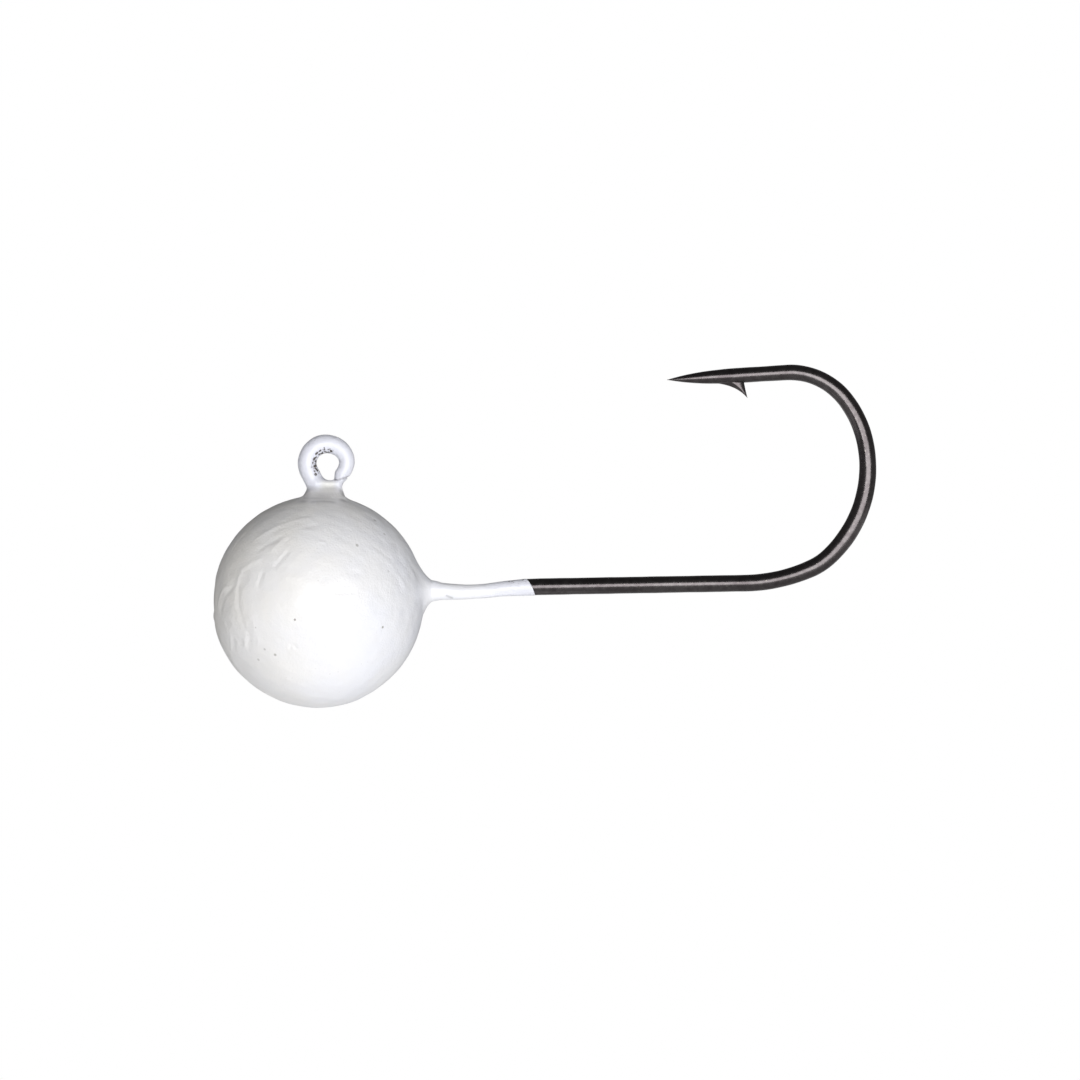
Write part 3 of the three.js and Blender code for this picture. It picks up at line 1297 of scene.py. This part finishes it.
class CoatForm:
    """The coat as a distance in space."""

    def __init__(self, coat: Coat, eye: Tube, sleeve: Tube) -> None:
        """Gathers the coat's parts.

        Args:
            coat: the coat's sizes.
            eye: the rod of the coated eye.
            sleeve: the rod of the enamel round the shank.
        """
        self.coat = coat
        self.eye = eye
        self.sleeve = sleeve
        (near, thick), (far, thin) = coat.collar
        ends = [[near, 0.0, coat.collar_height], [far, 0.0, coat.collar_height]]
        self.collar = Tube(np.array(ends), np.array([thick, thin]))
        lines = [np.array([[x, 0.0, z] for x, z in line]) for line in coat.cracks]
        self.cracks = [Tube(line, np.zeros(len(line)), 0.5) for line in lines]

    def plain(self, points: np.ndarray) -> np.ndarray:
        """The distance to the coat without its fine relief.

        Args:
            points: the points to measure.

        Returns:
            The distance at each point, negative inside.
        """
        coat = self.coat
        body = smooth_union(coat.ball.plain(points), coat.neck.distance(points), coat.neck_fillet)
        collar = self.collar.distance(points)
        shank = smooth_union(collar, self.sleeve.distance(points), coat.sleeve_fillet)
        body = smooth_union(body, shank, coat.collar_fillet)
        post = coat.post.distance(points)
        web = smooth_union(coat.web.distance(points), post, coat.web_post_fillet)
        eye = smooth_union(web, self.eye.distance(points), self.web_blend(points))
        body = smooth_union(body, eye, coat.eye_fillet)
        return np.maximum(body, coat.edge(points))

    def web_blend(self, points: np.ndarray) -> np.ndarray:
        """How far the fillet between the web and the eye reaches: less at the wire's end."""
        share = rise(points[:, 0], *self.coat.post_reach)
        return self.coat.web_fillet + share * (self.coat.post_fillet - self.coat.web_fillet)

    def distance(self, points: np.ndarray) -> np.ndarray:
        """The distance to the coat, with its marks and its unevenness.

        Args:
            points: the points to measure.

        Returns:
            The distance at each point, negative inside.
        """
        x, y, z = points.T
        waves = np.sin(2.9 * x + 1.7 * y) * np.sin(2.3 * y - 1.9 * z + 1.0)
        waves += 0.6 * np.sin(5.3 * z + 3.1 * x + 0.5) * np.sin(4.7 * y + 2.2)
        plain = self.plain(points)
        on_ball = np.clip(1.0 - np.abs(self.coat.ball.plain(points)) / 0.2, 0.0, 1.0)
        calm = rise(x, *self.coat.calm)
        relief = self.coat.ball.relief(points) * on_ball + self.coat.unevenness * waves * calm
        crack = self.cracked(points, self.coat.crack_width)
        marked = plain - relief + self.coat.crack_depth * crack * (y < self.coat.crack_side)
        return smooth_union(marked, self.coat.ball.core(points), self.coat.ball.core_blend)

    def cracked(self, points: np.ndarray, width: float) -> np.ndarray:
        """Finds how near each point is to a crack.

        Args:
            points: the points to measure.
            width: the crack's width.

        Returns:
            1 in the middle of a crack, falling to 0 over its width.
        """
        flat = points * [1.0, 0.0, 1.0]
        gap = np.min([crack.distance(flat) for crack in self.cracks], axis=0)
        return np.exp(-((gap / width) ** 2))

    def normals(self, points: np.ndarray) -> np.ndarray:
        """The surface's direction at each point.

        Args:
            points: points near the surface.

        Returns:
            A unit vector for each point.
        """
        reach = 0.01
        slope = np.zeros_like(points)
        for corner in ((1, 1, 1), (1, -1, -1), (-1, 1, -1), (-1, -1, 1)):
            corner = np.array(corner, float)
            slope += corner * self.plain(points + corner * reach)[:, None]
        return slope / np.maximum(np.linalg.norm(slope, axis=1), 1e-9)[:, None]

    def bare(self, points: np.ndarray) -> np.ndarray:
        """Finds where the enamel is worn: inside the eye, and along the top of its edge on the shank.

        Args:
            points: points on the surface.

        Returns:
            A value for each point, 0 where the enamel is whole.
        """
        coat = self.coat
        x, _, z = points.T
        up = z - coat.worn_centre
        inwards = -(self.normals(points) * np.column_stack([x, 0 * x, up])).sum(1)
        facing = rise(inwards / np.hypot(x, up), *coat.worn_facing)
        angle = np.degrees(np.arctan2(z, x)) % 360.0
        window = rise(angle, *coat.worn_from) * rise(angle, *coat.worn_to)
        near = np.hypot(x, z) < coat.worn_within
        scuffed = rise(z, *coat.scuff_height) * rise(x, *coat.scuff_from)
        scuffed = scuffed * (z < coat.shank_beyond[1]) * rise(x, *coat.scuff_to)
        return np.maximum(facing * window * near, coat.scuff_strength * scuffed)

    def painted_shade(self, points: np.ndarray) -> np.ndarray:
        """Finds where shade is painted: in the cracks, and round and under the neck.

        Args:
            points: points on the surface.

        Returns:
            A value for each point, 0 where the enamel is clean.
        """
        coat = self.coat
        found = np.zeros(len(points))
        for start, end in coat.painted_shade_lines:
            line = np.array([coat.ball.front(*start), coat.ball.front(*end)])
            gap = Tube(line, np.zeros(2), coat.ball.mark_reach).distance(points)
            found = np.maximum(found, np.exp(-((gap / coat.painted_shade_line_width) ** 2)))
        width, strength = coat.crack_shade
        cracked = strength * self.cracked(points, width) * (points[:, 1] < coat.crack_side)
        found = np.maximum(found, cracked)
        width, strength = coat.neck_shade
        under_neck = np.exp(-(((points[:, 2] - coat.neck_foot) / width) ** 2))
        on_neck = np.abs(points[:, 0] + 0.15) < coat.neck_half
        return np.maximum(found, strength * under_neck * on_neck)

    def thin(self, points: np.ndarray) -> np.ndarray:
        """Finds where the enamel is a thin film over the wire: on the eye, and near its edge.

        Args:
            points: points on the surface.

        Returns:
            A value for each point, 0 where the enamel is thick.
        """
        on_eye = rise(points[:, 2], *self.coat.thin_on_eye)
        on_shank = rise(points[:, 0], *self.coat.thin_on_shank)
        return np.maximum(on_eye, self.coat.shank_thinness * on_shank)

    def web(self, points: np.ndarray) -> np.ndarray:
        """Where the enamel fills the notch between the leg and the wire's end, and a greyer painted
        shade is laid on the recess.
        """
        away = (points[:, [0, 2]] - self.coat.web_shade_middle) / self.coat.web_shade_half
        return np.exp(-(away[:, 0] ** 4) - away[:, 1] ** 4)


# ---------------------------------------------------------------- studio


@dataclass(frozen=True)
class SoftLight:
    """A square of soft light that faces the part."""

    name: str
    place: Corner
    size: float
    power: float
    aim: Corner = (0.0, 0.0, 0.0)

    def build(self, target: Vector) -> None:
        """Hangs the light.

        Args:
            target: the middle of the part, which places and aims are measured from.
        """
        lamp = bpy.data.lights.new(self.name, "AREA")
        lamp.shape = "SQUARE"
        lamp.size = self.size
        lamp.energy = self.power
        holder = bpy.data.objects.new(self.name, lamp)
        holder.location = target + Vector(self.place)
        facing = target + Vector(self.aim) - holder.location
        holder.rotation_euler = facing.to_track_quat("-Z", "Y").to_euler()
        holder.visible_camera = False
        bpy.context.scene.collection.objects.link(holder)


@dataclass(frozen=True)
class Studio:
    """A white room with soft lights, a pale floor and a long lens square on to the hook's plane."""

    lens_distance: float = 0.8
    frame_share: float = 1.627
    aim_shift: Spot2D = (-0.00024, -0.00026)
    floor_drop: float = 0.045
    floor_radius: float = 0.2
    floor_chalk: float = 0.60
    floor_fade: Spot2D = (0.62, 0.70)
    floor_sides: int = 96
    floor_mottle: float = 9.0
    floor_tones: tuple[Colour, Colour] = ((0.93, 0.93, 0.93), (0.95, 0.95, 0.95))
    glow: float = 0.24
    glow_lean: Corner = (0.024, 0.0, -0.125)
    clip_start: float = 0.01
    lights: tuple[SoftLight, ...] = (
        SoftLight("front_panel", (0.12, -0.60, -0.08), 0.60, 5.5),
        SoftLight("spark", (-0.178, -0.583, -0.067), 0.10, 0.26),
        SoftLight(
            "under_card", (-0.0099, -0.003, -0.0233), 0.022, 0.0005, (-0.0144, 0.0, -0.0042)
        ),
    )

    def build(self) -> None:
        """Sets up the room, the lights, the floor and the camera."""
        low, high = (Vector(corner) for corner in cad_box)
        middle = (low + high) / 2
        bpy.context.scene.view_settings.view_transform = "Standard"
        self._room()
        for light in self.lights:
            light.build(middle)
        self._floor(middle, low.z)
        self._camera(middle, high.x - low.x)

    def _camera(self, middle: Vector, length: float) -> None:
        """Sets the camera.

        Args:
            middle: the middle of the part.
            length: the part's length.
        """
        lens = bpy.data.cameras.new("camera")
        lens.lens = lens.sensor_width * self.lens_distance / (length * self.frame_share)
        lens.clip_start = self.clip_start
        holder = bpy.data.objects.new("camera", lens)
        across, up = self.aim_shift
        holder.location = (middle.x + across, middle.y - self.lens_distance, middle.z + up)
        holder.rotation_euler = (math.pi / 2, 0.0, 0.0)
        bpy.context.scene.collection.objects.link(holder)
        bpy.context.scene.camera = holder

    def _room(self) -> None:
        """A room that looks white, and lights the part a little more from below."""
        world = bpy.data.worlds.new("room")
        bpy.context.scene.world = world
        world.use_nodes = True
        bench = Bench(world.node_tree)
        towards = bench.node("ShaderNodeTexCoord").outputs["Generated"]
        glow = self.glow + bench.along(towards, self.glow_lean)
        room = bench.node("ShaderNodeBackground", None, {"Strength": glow})
        seen = bench.node("ShaderNodeBackground", None, {"Color": (1.0, 1.0, 1.0, 1.0)})
        path = bench.node("ShaderNodeLightPath")
        mixed = bench.node(
            "ShaderNodeMixShader",
            None,
            {0: path.outputs["Is Camera Ray"], 1: room.outputs[0], 2: seen.outputs[0]},
        )
        room.inputs["Color"].default_value = (1.0, 1.0, 1.0, 1.0)
        bench.node("ShaderNodeOutputWorld", None, {"Surface": mixed.outputs[0]})

    def _floor(self, middle: Vector, lowest: float) -> None:
        """Lays a round pale floor that fades into the room at its rim.

        Args:
            middle: the middle of the part.
            lowest: the height of the part's lowest point.
        """
        reach = self.floor_radius
        angles = np.linspace(0.0, 2.0 * math.pi, self.floor_sides, endpoint=False)
        rim = [(reach * math.cos(a), reach * math.sin(a), 0.0) for a in angles]
        floor = Shape(np.array(rim), [tuple(range(len(rim)))]).piece("floor")
        floor.location = (middle.x, middle.y, lowest - self.floor_drop)
        made = bpy.data.materials.new("pale_floor")
        made.use_nodes = True
        bench = Bench(made.node_tree)
        place = bench.place()
        middle_share, blur_share = self.floor_fade
        away = bench.near(
            place, (0.0, 0.0, 0.0), middle_share * reach / MM, blur_share * reach / MM
        )
        tone = bench.colour(bench.noise(place, self.floor_mottle, 3.0), *self.floor_tones)
        chalk = bench.node("ShaderNodeBsdfDiffuse", None, {"Color": tone})
        white = bench.node("ShaderNodeEmission", None, {"Color": (1.0, 1.0, 1.0, 1.0)})
        share = self.floor_chalk * away
        ends = {1: white.outputs[0], 2: chalk.outputs[0]}
        mixed = bench.node("ShaderNodeMixShader", None, {0: share, **ends})
        bench.node("ShaderNodeOutputMaterial", None, {"Surface": mixed.outputs[0]})
        floor.data.materials.append(made)


# ---------------------------------------------------------------- the part

GRAINS = (
    Speck(-1.89, -9.99, 0.07, 0.8),
    Speck(-3.17, -12.23, 0.09, 0.55),
    Speck(-4.26, -12.55, 0.09, 0.35),
    Speck(-3.84, -11.88, 0.08, 0.35),
    Speck(3.66, -10.47, 0.075, 0.75),
    Speck(2.04, -5.27, 0.10, 0.45),
    Speck(3.14, -3.67, 0.11, 0.45),
    Speck(3.75, -4.55, 0.09, 0.30),
    Speck(-4.40, -10.49, 0.06, 0.30),
    Speck(6.19, -7.55, 0.12, 0.25),
    Speck(4.04, -6.92, 0.09, 0.20),
)


def main() -> None:
    """Builds the studio and the part."""
    logging.basicConfig(level=logging.INFO, format="%(message)s")
    Studio().build()
    log.info("studio ready")
    hook = Hook()
    wire = hook.build()
    hook.dress(wire)
    log.info("%s: %d faces", wire.name, len(wire.data.polygons))
    coat = Coat()
    enamel = coat.build()
    coat.dress(enamel, Enamel(ball=coat.ball, specks=GRAINS))
    log.info("%s: %d faces", enamel.name, len(enamel.data.polygons))
    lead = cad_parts[Node.LEAD.value]
    paint(lead, CastLead())
    log.info("%s: lead finish", lead.name)


if __name__ == "__main__":
    main()
